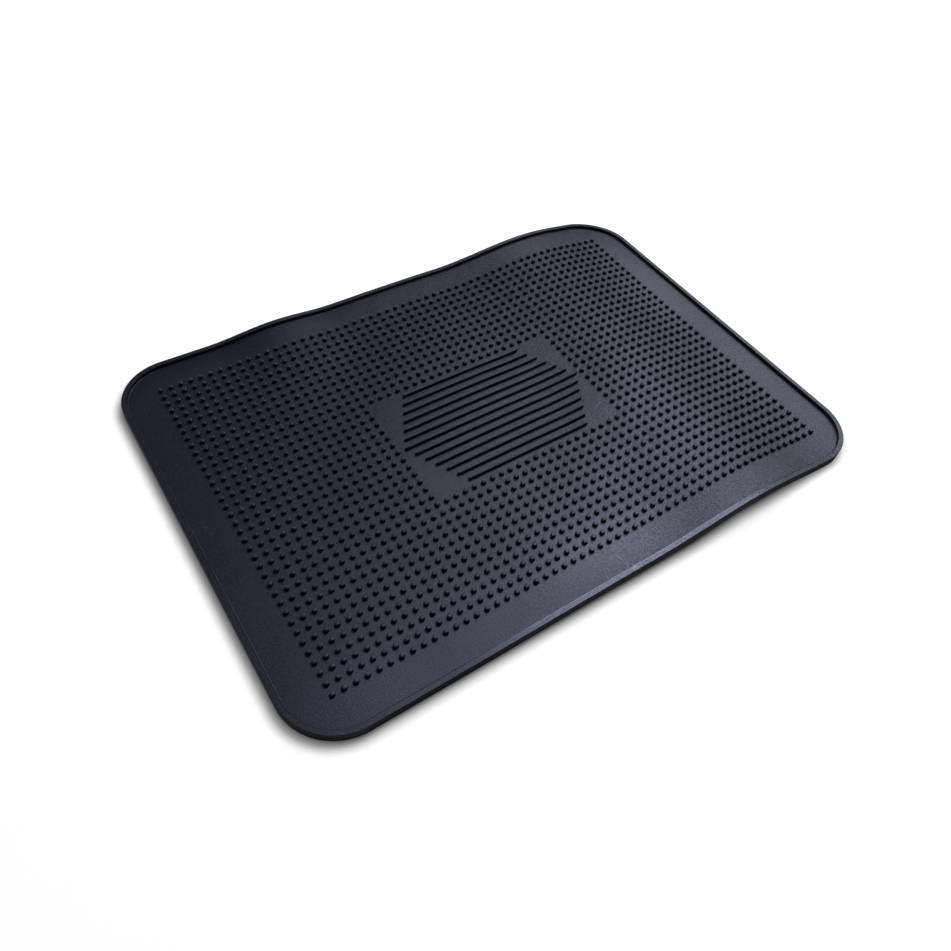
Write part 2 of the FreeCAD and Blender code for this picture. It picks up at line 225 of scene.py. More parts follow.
def ellipse_reach(tree, place, x, y, half_length, half_depth, degrees=0):
    """How far a place lies from the middle of an ellipse in plan, as a share of the way to its edge."""
    local = add(tree, "ShaderNodeMapping", {
        "Vector": place, "Location": (x, y, 0), "Rotation": (0, 0, math.radians(degrees)),
        "Scale": (half_length, half_depth, 1)}, vector_type="TEXTURE")
    local = add(tree, "ShaderNodeVectorMath", {0: local, 1: (1, 1, 0)}, operation="MULTIPLY")
    return add(tree, "ShaderNodeVectorMath", {0: local}, out="Value", operation="LENGTH")


def outside_mat(tree, place):
    """How far a place lies outside the mat's outline; inside, it counts down to the corner radius."""
    off = add(tree, "ShaderNodeVectorMath", {0: place}, operation="ABSOLUTE")
    centres = (LENGTH / 2 - CORNER_RADIUS, WIDTH / 2 - CORNER_RADIUS, 1)
    beyond = add(tree, "ShaderNodeVectorMath", {0: off, 1: centres}, operation="SUBTRACT")
    beyond = add(tree, "ShaderNodeVectorMath", {0: beyond, 1: (0, 0, 0)}, operation="MAXIMUM")
    reach = add(tree, "ShaderNodeVectorMath", {0: beyond}, out="Value", operation="LENGTH")
    return add(tree, "ShaderNodeMath", {0: reach, 1: CORNER_RADIUS}, operation="SUBTRACT")


def cover_rubber():
    """Compression-moulded black rubber.

    The mould was blasted, so the face is a fine even matt, which breaks the light into a soft grey-blue sheen.
    Hands have polished the near lip and three places on the border; a tray has dulled the middle. Wiped streaks,
    dust and a few light scuffs lie on it.
    """
    material, tree, place = start_material("moulded_black_rubber")

    outside = outside_mat(tree, place)
    inset = add(tree, "ShaderNodeMath", {0: outside, 1: -1.0}, operation="MULTIPLY")
    lip = add(tree, "ShaderNodeMapRange", {
        "Value": inset, "From Min": LIP_WIDTH + 0.15 * MM, "From Max": LIP_WIDTH - 0.1 * MM})

    # the blasted grain is 0.1 mm in life, drawn at 1.4 mm so that it shows
    grain = add(tree, "ShaderNodeTexNoise", {
        "Vector": place, "Scale": 1 / (1.4 * MM), "Detail": 3.0, "Roughness": 0.75}, out="Fac")
    grain = add(tree, "ShaderNodeMapRange", {"Value": grain, "From Min": 0.3, "From Max": 0.7})
    # the cure leaves a cloudy bloom a hand's breadth across
    bloom = add(tree, "ShaderNodeTexNoise", {
        "Vector": place, "Scale": 1 / (60 * MM), "Detail": 4.0, "Roughness": 0.6}, out="Fac")
    # wiped streaks, hair-thin and as long as a finger
    turned = add(tree, "ShaderNodeMapping", {
        "Vector": place, "Rotation": (0, 0, math.radians(24)), "Scale": (1 / (45 * MM), 1 / (0.9 * MM), 1)})
    streaks = add(tree, "ShaderNodeTexNoise", {"Vector": turned, "Scale": 1.0, "Detail": 2.0}, out="Fac")
    streaks = add(tree, "ShaderNodeMapRange", {"Value": streaks, "From Min": 0.62, "From Max": 0.8})
    # flow lines fan out from the gate and die away
    from_gate = add(tree, "ShaderNodeVectorMath", {0: place, 1: (*GATE, 0)}, operation="SUBTRACT")
    parts = add(tree, "ShaderNodeSeparateXYZ", {0: from_gate}).node.outputs
    angle = add(tree, "ShaderNodeMath", {0: parts["Y"], 1: parts["X"]}, operation="ARCTAN2")
    fan = add(tree, "ShaderNodeTexNoise", {"W": angle, "Scale": 9.0, "Detail": 3.0}, out="Fac", noise_dimensions="1D")
    reach = add(tree, "ShaderNodeVectorMath", {0: from_gate}, out="Value", operation="LENGTH")
    near_gate = add(tree, "ShaderNodeMapRange", {
        "Value": reach, "From Min": 2 * MM, "From Max": 24 * MM, "To Min": 1.0, "To Max": 0.0})
    fan = add(tree, "ShaderNodeMapRange", {"Value": fan, "From Min": 0.55, "From Max": 0.75})
    flow = add(tree, "ShaderNodeMath", {0: fan, 1: near_gate}, operation="MULTIPLY")
    patchy = add(tree, "ShaderNodeTexNoise", {"Vector": place, "Scale": 1 / (5 * MM), "Detail": 2.0}, out="Fac")
    patchy = add(tree, "ShaderNodeMapRange", {"Value": patchy, "From Min": 0.42, "From Max": 0.6})
    flow = add(tree, "ShaderNodeMath", {0: flow, 1: patchy}, operation="MULTIPLY")

    scuffed = 0.0
    for x, y, degrees, length, width in SCUFFS:
        away = ellipse_reach(tree, place, x, y, length / 2, width / 2, degrees)
        mark = add(tree, "ShaderNodeMapRange", {"Value": away, "From Min": 0.3, "To Min": 1.0, "To Max": 0.0})
        scuffed = add(tree, "ShaderNodeMath", {0: scuffed, 1: mark}, operation="MAXIMUM")
    broken = add(tree, "ShaderNodeMapRange", {"Value": grain, "From Min": 0.15, "From Max": 0.7})
    scuffed = add(tree, "ShaderNodeMath", {0: scuffed, 1: broken}, operation="MULTIPLY")
    # single specks of dust
    specks = add(tree, "ShaderNodeTexVoronoi", {"Vector": place, "Scale": 1 / (14 * MM)}, out="Distance")
    specks = add(tree, "ShaderNodeMapRange", {
        "Value": specks, "From Min": 0.016, "From Max": 0.03, "To Min": 1.0, "To Max": 0.0})

    colour = add(tree, "ShaderNodeMix", {
        "Factor": bloom, "A": linear("#0f1015"), "B": linear("#16171c")}, out=2, data_type="RGBA")
    colour = add(tree, "ShaderNodeMix", {
        "Factor": grain, "A": colour, "B": linear("#202127")}, out=2, data_type="RGBA")
    worn = add(tree, "ShaderNodeMath", {0: streaks, 1: 0.03}, operation="MULTIPLY")
    worn = add(tree, "ShaderNodeMath", {0: flow, 1: 0.14, 2: worn}, operation="MULTIPLY_ADD")
    worn = add(tree, "ShaderNodeMath", {0: scuffed, 1: 0.65, 2: worn}, operation="MULTIPLY_ADD")
    worn = add(tree, "ShaderNodeMath", {0: specks, 1: 0.35, 2: worn}, operation="MULTIPLY_ADD", use_clamp=True)
    colour = add(tree, "ShaderNodeMix", {
        "Factor": worn, "A": colour, "B": linear("#8f929c")}, out=2, data_type="RGBA")
    roughness = add(tree, "ShaderNodeMapRange", {
        "Value": bloom, "From Min": 0.3, "From Max": 0.7, "To Min": 0.30, "To Max": 0.35})
    # hands have rubbed the middle of the near lip and its inner arris; elsewhere the arris is dull from the mould
    rubbed = ellipse_reach(tree, place, *RUBBED)
    rubbed = add(tree, "ShaderNodeMapRange", {"Value": rubbed, "From Min": 0.6, "To Min": 1.0, "To Max": 0.0})
    rubbed_lip = add(tree, "ShaderNodeMath", {0: rubbed, 1: lip}, operation="MULTIPLY")
    arris = add(tree, "ShaderNodeMapRange", {
        "Value": inset, "From Min": LIP_WIDTH - 0.75 * MM, "From Max": LIP_WIDTH - 0.5 * MM})
    arris = add(tree, "ShaderNodeMath", {0: arris, 1: lip}, operation="MULTIPLY")
    dulled = add(tree, "ShaderNodeMapRange", {"Value": rubbed, "To Min": 0.35, "To Max": -0.04})
    roughness = add(tree, "ShaderNodeMath", {0: rubbed_lip, 1: -0.08, 2: roughness}, operation="MULTIPLY_ADD")
    roughness = add(tree, "ShaderNodeMath", {0: arris, 1: dulled, 2: roughness}, operation="MULTIPLY_ADD")
    # a tray that stood aslant on the middle has dulled it; its colour is bluer away from there
    trays = ellipse_reach(tree, place, *DULLED)
    tint = add(tree, "ShaderNodeMapRange", {"Value": trays, "From Min": 0.3})
    tint = add(tree, "ShaderNodeMix", {
        "Factor": tint, "A": linear("#eaeeff"), "B": linear("#d8deff")}, out=2, data_type="RGBA")
    shine = add(tree, "ShaderNodeMapRange", {
        "Value": trays, "From Min": 0.66, "From Max": 1.07, "To Min": 0.34, "To Max": 0.51}, **SMOOTH)
    for x, y, half_length, half_depth, gain in POLISHED:
        away = ellipse_reach(tree, place, x, y, half_length, half_depth)
        held = add(tree, "ShaderNodeMapRange", {
            "Value": away, "From Min": 0.2, "From Max": 1.1, "To Min": gain, "To Max": 0.0}, **SMOOTH)
        shine = add(tree, "ShaderNodeMath", {0: shine, 1: held}, operation="ADD")
    shine = add(tree, "ShaderNodeMath", {0: rubbed_lip, 1: 0.17, 2: shine}, operation="MULTIPLY_ADD")
    # the arris along the near edge is a little less dull than the others
    dull_arris = add(tree, "ShaderNodeMapRange", {
        "Value": add(tree, "ShaderNodeSeparateXYZ", {0: place}, out="Y"),
        "From Min": -165 * MM, "From Max": -140 * MM, "To Min": -0.2, "To Max": -0.45})
    arris_shine = add(tree, "ShaderNodeMapRange", {"Value": rubbed, "To Min": dull_arris, "To Max": 0.9})
    shine = add(tree, "ShaderNodeMath", {0: arris, 1: arris_shine, 2: shine}, operation="MULTIPLY_ADD")
    # dust in the pits of the grain takes some of the shine; the mould was blasted coarser towards its +X end
    along = add(tree, "ShaderNodeSeparateXYZ", {0: place}, out="X")
    coarse = add(tree, "ShaderNodeMapRange", {"Value": along, "From Min": -150 * MM, "From Max": 60 * MM})
    contrast = add(tree, "ShaderNodeMapRange", {"Value": coarse, "To Min": 0.25, "To Max": 1.5})
    pitted = add(tree, "ShaderNodeMath", {0: grain, 1: 0.5}, operation="SUBTRACT")
    pitted = add(tree, "ShaderNodeMath", {0: pitted, 1: contrast, 2: 1.0}, operation="MULTIPLY_ADD")
    shine = add(tree, "ShaderNodeMath", {0: shine, 1: pitted}, operation="MULTIPLY")
    # the outer wall was trimmed with a knife, so it is rough and looks black; at the -X end the mould left it smooth
    wall = add(tree, "ShaderNodeMapRange", {"Value": inset, "From Min": 0.2 * MM, "From Max": 0.05 * MM})
    trimmed = add(tree, "ShaderNodeMapRange", {
        "Value": along, "From Min": -228 * MM, "From Max": -200 * MM, "To Min": -0.05, "To Max": 0.5})
    roughness = add(tree, "ShaderNodeMath", {0: wall, 1: trimmed, 2: roughness}, operation="MULTIPLY_ADD")
    roughness = add(tree, "ShaderNodeMath", {0: grain, 1: 0.11, 2: roughness}, operation="MULTIPLY_ADD")
    depth = add(tree, "ShaderNodeMapRange", {"Value": coarse, "To Min": 0.36, "To Max": 0.9})
    depth = add(tree, "ShaderNodeMapRange", {"Value": lip, "To Min": depth, "To Max": 0.2})
    raised = add(tree, "ShaderNodeBump", {"Height": grain, "Strength": depth, "Distance": 0.12 * MM})
    return finish_material(material, {
        "Base Color": colour, "Roughness": roughness, "Normal": raised, "Specular IOR Level": shine,
        "Specular Tint": tint, "IOR": 1.42})


def weave(tree, place, pitch):
    """Two crossing sets of threads, raised where they lie over each other."""
    across, along = (add(tree, "ShaderNodeTexWave", {
        "Vector": place, "Scale": WAVE_PERIOD / pitch, "Distortion": 0.6, "Detail": 1.0},
        out="Fac", bands_direction=axis) for axis in "XY")
    return add(tree, "ShaderNodeMath", {0: across, 1: along}, operation="MULTIPLY")


def back_rubber():
    """Calendered rubber, cured against cloth: dull, with the cloth's print, and rubbed grey where it has slid."""
    material, tree, place = start_material("calendered_rubber_with_cloth_print")
    # the cloth's threads are 0.5 mm apart in life, drawn at 1.8 mm so that they show
    print_of_cloth = weave(tree, place, 1.8 * MM)
    bloom = add(tree, "ShaderNodeTexNoise", {
        "Vector": place, "Scale": 1 / (45 * MM), "Detail": 5.0, "Roughness": 0.62}, out="Fac")
    colour = add(tree, "ShaderNodeMix", {
        "Factor": bloom, "A": linear("#141518"), "B": linear("#222327")}, out=2, data_type="RGBA")
    # drag marks from a bench, a few hairs wide and as long as a hand
    turned = add(tree, "ShaderNodeMapping", {
        "Vector": place, "Rotation": (0, 0, math.radians(-17)), "Scale": (1 / (40 * MM), 1 / (1.6 * MM), 1)})
    drag = add(tree, "ShaderNodeTexNoise", {"Vector": turned, "Scale": 1.0, "Detail": 3.0}, out="Fac")
    drag = add(tree, "ShaderNodeMapRange", {"Value": drag, "From Min": 0.64, "From Max": 0.8, "To Max": 0.14})
    # the drag marks come where the sheet's high places touched
    touched = add(tree, "ShaderNodeMapRange", {"Value": bloom, "From Min": 0.45, "From Max": 0.62})
    drag = add(tree, "ShaderNodeMath", {0: drag, 1: touched}, operation="MULTIPLY")
    rubbed = add(tree, "ShaderNodeMath", {0: drag, 1: print_of_cloth, 2: drag}, operation="MULTIPLY_ADD")
    colour = add(tree, "ShaderNodeMix", {
        "Factor": rubbed, "A": colour, "B": linear("#85878c")}, out=2, data_type="RGBA")
    roughness = add(tree, "ShaderNodeMapRange", {"Value": bloom, "To Min": 0.56, "To Max": 0.70})
    raised = add(tree, "ShaderNodeBump", {"Height": print_of_cloth, "Strength": 0.6, "Distance": 0.12 * MM})
    return finish_material(material, {"Base Color": colour, "Roughness": roughness, "Normal": raised})


def two_tone(material, tone, colours, wear, roughnesses, height, strength, depth, metallic=0.0):
    """Ends a material: one pattern mixes its two colours, one turns its roughness and one raises its face."""
    tree = material.node_tree
    colour = add(tree, "ShaderNodeMix", {
        "Factor": tone, "A": linear(colours[0]), "B": linear(colours[1])}, out=2, data_type="RGBA")
    roughness = add(tree, "ShaderNodeMapRange", {"Value": wear, "To Min": roughnesses[0], "To Max": roughnesses[1]})
    raised = add(tree, "ShaderNodeBump", {"Height": height, "Strength": strength, "Distance": depth})
    return finish_material(material, {
        "Base Color": colour, "Roughness": roughness, "Normal": raised, "Metallic": metallic})


def gland_rubber():
    """Injection-moulded rubber: a smoother black than the cover, scuffed pale where the cord has worked in it."""
    material, tree, place = start_material("injection_moulded_rubber")
    grain = add(tree, "ShaderNodeTexNoise", {
        "Vector": place, "Scale": 1 / (0.5 * MM), "Detail": 3.0, "Roughness": 0.6}, out="Fac")
    worn = add(tree, "ShaderNodeMapRange", {"Value": grain, "From Min": 0.58, "From Max": 0.75, "To Max": 0.22})
    return two_tone(material, worn, ("#121316", "#5c5e64"), grain, (0.42, 0.56), grain, 0.3, 0.05 * MM)


def foam():
    """Sliced closed-cell polyethylene: pale grey, with the cut cells as shallow dimples."""
    material, tree, place = start_material("sliced_polyethylene_foam")
    # the cells are 0.4 mm across in life, drawn at 1 mm so that they show
    cells = add(tree, "ShaderNodeTexVoronoi", {"Vector": place, "Scale": 1 / (1.0 * MM)}, out="Distance")
    soil = add(tree, "ShaderNodeTexNoise", {"Vector": place, "Scale": 1 / (30 * MM), "Detail": 3.0}, out="Fac")
    return two_tone(material, soil, ("#b7b9bd", "#cdcfd2"), cells, (0.85, 0.6), cells, 0.5, 0.15 * MM)


def metallised_film():
    """Polyester with a vapour-laid metal skin: a mirror, broken by the creases of handling."""
    material, tree, place = start_material("vapour_metallised_polyester")
    creases = add(tree, "ShaderNodeTexVoronoi", {
        "Vector": place, "Scale": 1 / (28 * MM)}, out="Distance", feature="DISTANCE_TO_EDGE")
    creases = add(tree, "ShaderNodeMapRange", {"Value": creases, "From Max": 0.05})
    haze = add(tree, "ShaderNodeTexNoise", {"Vector": place, "Scale": 1 / (18 * MM), "Detail": 4.0}, out="Fac")
    return two_tone(material, haze, ("#dcdee3", "#eceef0"), haze, (0.08, 0.26), creases, 0.4, 0.1 * MM, 0.9)


def glass_scrim():
    """Open-woven glass fibre: cream, with a dry glint on the raised threads."""
    material, tree, place = start_material("woven_glass_scrim")
    # the threads are 0.6 mm apart in life, drawn at 1.6 mm so that they show
    threads = weave(tree, place, 1.6 * MM)
    size_stain = add(tree, "ShaderNodeTexNoise", {"Vector": place, "Scale": 1 / (40 * MM), "Detail": 3.0}, out="Fac")
    colour = add(tree, "ShaderNodeMix", {
        "Factor": threads, "A": linear("#c9c6b8"), "B": linear("#ece9de")}, out=2, data_type="RGBA")
    colour = add(tree, "ShaderNodeMix", {
        "Factor": size_stain, "A": colour, "B": linear("#d9cfae")}, out=2, data_type="RGBA", blend_type="MULTIPLY")
    roughness = add(tree, "ShaderNodeMapRange", {"Value": threads, "To Min": 0.7, "To Max": 0.45})
    raised = add(tree, "ShaderNodeBump", {"Height": threads, "Strength": 0.7, "Distance": 0.12 * MM})
    return finish_material(material, {"Base Color": colour, "Roughness": roughness, "Normal": raised})


def silicone(name, base, dusty):
    """Extruded silicone: a soft clean colour that picks up dust, with faint ripples from the die."""
    material, tree, place = start_material(name)
    ripple = add(tree, "ShaderNodeTexNoise", {"Vector": place, "Scale": 1 / (0.7 * MM), "Detail": 2.0}, out="Fac")
    dust = add(tree, "ShaderNodeTexNoise", {"Vector": place, "Scale": 1 / (6 * MM), "Detail": 5.0}, out="Fac")
    dust = add(tree, "ShaderNodeMapRange", {"Value": dust, "From Min": 0.5, "From Max": 0.8, "To Max": 0.5})
    return two_tone(material, dust, (base, dusty), dust, (0.36, 0.84), ripple, 0.2, 0.05 * MM)


def cloth_tape():
    """Glass cloth with a cured adhesive back: buff, yellowed in patches, with a tight weave."""
    material, tree, place = start_material("adhesive_glass_cloth_tape")
    threads = weave(tree, place, 0.9 * MM)
    yellowed = add(tree, "ShaderNodeTexNoise", {"Vector": place, "Scale": 1 / (12 * MM), "Detail": 4.0}, out="Fac")
    return two_tone(material, yellowed, ("#ded8c6", "#cdbf97"), threads, (0.7, 0.5), threads, 0.5, 0.08 * MM)


def rolled_foil():
    """Bright rolled aluminium: fine lines along the roll stretch the reflection, and dents break it up."""
    material, tree, place = start_material("bright_rolled_aluminium_foil")
    # the roll's lines are 0.02 mm apart in life, drawn at 0.6 mm so that they show
    stretched = add(tree, "ShaderNodeMapping", {"Vector": place, "Scale": (1 / (90 * MM), 1 / (0.6 * MM), 1)})
    lines = add(tree, "ShaderNodeTexNoise", {"Vector": stretched, "Scale": 1.0, "Detail": 3.0}, out="Fac")
    dents = add(tree, "ShaderNodeTexNoise", {"Vector": place, "Scale": 1 / (9 * MM), "Detail": 4.0}, out="Fac")
    height = add(tree, "ShaderNodeMath", {0: lines, 1: 0.15, 2: dents}, operation="MULTIPLY_ADD")
    return two_tone(material, dents, ("#d3d5d9", "#e9eaec"), lines, (0.14, 0.38), height, 0.35, 0.15 * MM, 1.0)


def tinned_brass():
    """Brass tube, tin-plated and crimped: silvery, with the brass showing where the jaws bit."""
    material, tree, place = start_material("tinned_brass_crimp")
    bites = add(tree, "ShaderNodeTexNoise", {"Vector": place, "Scale": 1 / (1.2 * MM), "Detail": 3.0}, out="Fac")
    bare = add(tree, "ShaderNodeMapRange", {"Value": bites, "From Min": 0.6, "From Max": 0.7})
    return two_tone(material, bare, ("#dbd9d2", "#b8975a"), bites, (0.2, 0.45), bites, 0.4, 0.05 * MM, 1.0)


def mottled(name, size, detail, colours, roughnesses, strength, depth, distortion=0.0):
    """A plain material whose one soft pattern turns its colour, its roughness and its height."""
    material, tree, place = start_material(name)
    pattern = add(tree, "ShaderNodeTexNoise", {
        "Vector": place, "Scale": 1 / size, "Detail": detail, "Distortion": distortion}, out="Fac")
    return two_tone(material, pattern, colours, pattern, roughnesses, pattern, strength, depth)


COVER_RUBBER = cover_rubber()
BACK_RUBBER = back_rubber()
TAPE = cloth_tape()
TINNED_BRASS = tinned_brass()
WHITE_SILICONE = silicone("extruded_white_silicone", "#dedcd5", "#bdb9ae")
# undyed nylon: creamy, a little glossy, with a cloudy flow of denser and clearer resin
NYLON = mottled(
    "injection_moulded_natural_nylon", 7 * MM, 4.0, ("#d6d2c4", "#e8e5da"), (0.3, 0.46), 0.2, 0.1 * MM, 0.8)
# a glossy black skin with soft wrinkles round it
SLEEVE = mottled("heat_shrunk_polyolefin", 1.5 * MM, 2.0, ("#141417", "#26262b"), (0.2, 0.4), 0.5, 0.1 * MM)
# a flat charcoal with the filler's fine speckle
EPOXY = mottled("transfer_moulded_epoxy", 0.3 * MM, 3.0, ("#343436", "#505053"), (0.5, 0.66), 0.3, 0.03 * MM)


# ---- the cover's body and the back sheet

def straight_stops(half_straight):
    count = round(2 * half_straight / CELL)
    return np.linspace(-half_straight, half_straight, count + 1)


def plan(inset):
    """A grid of places over the mat's rounded rectangle, set in from its outline, with its own corners rounded off."""
    centre_x = LENGTH / 2 - CORNER_RADIUS
    centre_y = WIDTH / 2 - CORNER_RADIUS
    corner = np.linspace(0, CORNER_RADIUS - inset, CORNER_CELLS + 1)[1:]
    xs = np.concatenate([-centre_x - corner[::-1], straight_stops(centre_x), centre_x + corner])
    ys = np.concatenate([-centre_y - corner[::-1], straight_stops(centre_y), centre_y + corner])
    x, y = np.meshgrid(xs, ys, indexing="ij")
    over_x = np.clip(np.abs(x) - centre_x, 0, None)
    over_y = np.clip(np.abs(y) - centre_y, 0, None)
    in_corner = (over_x > 0) & (over_y > 0)
    reach = np.where(in_corner, np.hypot(over_x, over_y), 1)
    scale = np.where(in_corner, np.maximum(over_x, over_y) / reach, 1)
    x = np.sign(x) * (np.minimum(np.abs(x), centre_x) + over_x * scale)
    y = np.sign(y) * (np.minimum(np.abs(y), centre_y) + over_y * scale)
    return x, y


def rim_order(shape):
    """The grid's edge, once round anticlockwise."""
    nx, ny = shape
    order = [(i, 0) for i in range(nx - 1)]
    order += [(nx - 1, j) for j in range(ny - 1)]
    order += [(i, ny - 1) for i in range(nx - 1, 0, -1)]
    order += [(0, j) for j in range(ny - 1, 0, -1)]
    return order


def join(faces, upper, lower):
    """A band of faces between two closed rings that run anticlockwise, the first one higher or further in."""
    for n in range(len(upper)):
        m = (n + 1) % len(upper)
        faces.append((upper[n], lower[n], lower[m], upper[m]))


def new_mesh(name, vertices, faces, material=None):
    mesh = bpy.data.meshes.new(name)
    mesh.from_pydata([tuple(map(float, v)) for v in vertices], [], [tuple(map(int, f)) for f in faces])
    mesh.update()
    if material:
        mesh.materials.append(material)
    return mesh


def shell(name, top, profile, bottom, material):
    """A closed body: a grid on top, rings down a profile of (inset, height), and a grid underneath."""
    vertices = []
    faces = []

    def add_grid(inset, z, upward):
        x, y = plan(inset)
        nx, ny = x.shape
        index = len(vertices) + np.arange(nx * ny).reshape(nx, ny)
        vertices.extend(zip(x.ravel(), y.ravel(), np.full(x.size, z)))
        for i in range(nx - 1):
            for j in range(ny - 1):
                face = (index[i, j], index[i + 1, j], index[i + 1, j + 1], index[i, j + 1])
                faces.append(face if upward else face[::-1])
        return [index[i, j] for i, j in rim_order((nx, ny))]

    ring = add_grid(*top, True)
    for inset, z in profile:
        x, y = plan(inset)
        order = rim_order(x.shape)
        following = list(range(len(vertices), len(vertices) + len(order)))
        vertices.extend((x[i, j], y[i, j], z) for i, j in order)
        join(faces, ring, following)
        ring = following
    join(faces, ring, add_grid(*bottom, False))
    return new_mesh(name, vertices, faces, material)


def arc(centre_inset, centre_z, radius, start, end, steps=5):
    """Points of a fillet in the rim's section, by degrees from the outward direction."""
    angles = np.radians(np.linspace(start, end, steps + 1))
    return [(centre_inset - radius * math.cos(a), centre_z + radius * math.sin(a)) for a in angles]


def rim_profile():
    """The lip and the outer wall in section, from the web down to the floor, with a close ring beside each fillet."""
    root = LIP_WIDTH + LIP_ROOT_RADIUS
    edge = LIP_EDGE_RADIUS
    return [
        (root, WEB_TOP),
        *arc(root, WEB_TOP + LIP_ROOT_RADIUS, LIP_ROOT_RADIUS, -90, 0)[1:],
        (LIP_WIDTH, WEB_TOP + LIP_ROOT_RADIUS + SUPPORT),
        (LIP_WIDTH, LIP_TOP - edge - SUPPORT),
        *arc(LIP_WIDTH - edge, LIP_TOP - edge, edge, 180, 90),
        (LIP_WIDTH - edge - SUPPORT, LIP_TOP),
        (edge + SUPPORT, LIP_TOP),
        *arc(edge, LIP_TOP - edge, edge, 90, 0),
        (0, LIP_TOP - edge - SUPPORT),
        (0, WEB_TOP),
        (0, SHEET_TOP + SUPPORT),
        (0, FOOT_RADIUS + SUPPORT),
        *arc(FOOT_RADIUS, FOOT_RADIUS, FOOT_RADIUS, 0, -90, 3),
    ]


def evaluated_mesh(holder):
    bpy.context.view_layer.update()
    seen = holder.evaluated_get(bpy.context.evaluated_depsgraph_get())
    return bpy.data.meshes.new_from_object(seen)


def box_form(low, high, corner_radius=0.0):
    """A box for cutting, its edges along X rounded if a radius is given."""
    form = bmesh.new()
    bmesh.ops.create_cube(form, size=1)
    middle = (Vector(low) + Vector(high)) / 2
    size = Vector(high) - Vector(low)
    for vertex in form.verts:
        vertex.co = middle + Vector(a * b for a, b in zip(vertex.co, size))
    if corner_radius:
        long_edges = [e for e in form.edges if abs(e.verts[0].co.x - e.verts[1].co.x) > size.x / 2]
        bmesh.ops.bevel(form, geom=long_edges, offset=corner_radius, segments=6, profile=0.5, affect="EDGES")
    mesh = bpy.data.meshes.new("cutter")
    form.to_mesh(mesh)
    form.free()
    return mesh


def cut_away(mesh, cutters):
    """The mesh less each cutter."""
    body = new_object("body", mesh)
    tools = []
    for cutter in cutters:
        tool = new_object("cutter", cutter)
        tools.append(tool)
        modifier = body.modifiers.new("cut", "BOOLEAN")
        modifier.solver = "EXACT"
        modifier.operation = "DIFFERENCE"
        modifier.object = tool
    result = evaluated_mesh(body)
    for used in [body, *tools]:
        bpy.data.objects.remove(used)
    return result


def finish_piece(mesh, name, slot, *nodes):
    """Makes the object of a finished mesh, which stands for its CAD nodes and rides on the mat."""
    lay_on_wave(mesh)
    mesh.shade_smooth()
    mesh.set_sharp_from_angle(angle=SHARP_ANGLE)
    mesh.name = name
    piece = new_object(name, mesh)
    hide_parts(*nodes)
    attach(piece, "root")


def cover():
    profile = rim_profile() + [(RIM_WIDTH, 0), (RIM_WIDTH, SHEET_TOP), (BORDER_WIDTH, SHEET_TOP)]
    web_edge = LIP_WIDTH + LIP_ROOT_RADIUS + SUPPORT
    mesh = shell("cover", (web_edge, WEB_TOP), profile, (BORDER_WIDTH, CAVITY_TOP), COVER_RUBBER)
    gap = GLAND_CLEARANCE
    nose = box_form(
        (GLAND_LOW.x - gap, CORD_Y - GLAND_NOSE_WIDTH / 2 - gap, GLAND_LOW.z - 2 * gap),
        (COVER_HIGH.x + gap, CORD_Y + GLAND_NOSE_WIDTH / 2 + gap, GLAND_HIGH.z + gap),
        GLAND_CORNER_RADIUS + gap,
    )
    flange = box_form(
        (GLAND_LOW.x - gap, GLAND_LOW.y - gap, SHEET_TOP - gap),
        (GLAND_LOW.x + GLAND_FLANGE_LENGTH + gap, GLAND_HIGH.y + gap, GLAND_HIGH.z + gap),
    )
    lid_pocket = box_form(
        (LID_LOW.x - LID_CLEARANCE, LID_LOW.y - LID_CLEARANCE, SHEET_TOP + gap),
        (LID_HIGH.x + LID_CLEARANCE, LID_HIGH.y + LID_CLEARANCE, LID_HIGH.z),
    )
    mesh = cut_away(mesh, [nose, flange, lid_pocket])
    finish_piece(mesh, "cover", "cover_rubber", "top_cover")


def back_sheet():
    edge = SHEET_INSET
    profile = [(edge, SHEET_TOP), (edge, 0)]
    inside = edge + SUPPORT
    mesh = shell("back_sheet", (inside, SHEET_TOP), profile, (inside, 0), BACK_RUBBER)
    finish_piece(mesh, "back_sheet", "base_rubber", "base_sheet")


# ---- nubs and ribs

def stadium(half_straight, radius, z, arc_steps, straight_steps):
    """A closed ring round a slot shape along X, anticlockwise from its +X tip, the same above its axis as below."""
    upper = []
    for step in range(arc_steps + 1):
        angle = math.pi / 2 * step / arc_steps
        upper.append((half_straight + radius * math.cos(angle), radius * math.sin(angle), z))
    for step in range(1, straight_steps + 1):
        upper.append((half_straight * (1 - 2 * step / straight_steps), radius, z))
    for step in range(1, arc_steps + 1):
        angle = math.pi / 2 * (1 + step / arc_steps)
        upper.append((-half_straight + radius * math.cos(angle), radius * math.sin(angle), z))
    return upper + [(x, -y, z) for x, y, z in upper[-2:0:-1]]


def moulded_form(name, half_straight, radius, profile, arc_steps, straight_steps):
    """A closed nub or rib: slot-shaped rings up a profile of (spread, height), with a cap of strips at both ends."""
    vertices = []
    faces = []
    rings = []
    for spread, z in profile:
        ring = stadium(half_straight, radius + spread, z, arc_steps, straight_steps)
        rings.append(list(range(len(vertices), len(vertices) + len(ring))))
        vertices.extend(ring)
    for lower, upper in zip(rings, rings[1:]):
        join(faces, upper, lower)
    count = len(rings[0])
    for ring, upward in ((rings[-1], True), (rings[0], False)):
        for n in range(count // 2):
            # at the tips two of the four corners are one
            strip = tuple(dict.fromkeys((ring[n], ring[n + 1], ring[count - n - 1], ring[-n])))
            faces.append(strip if upward else strip[::-1])
    return new_mesh(name, vertices, faces)


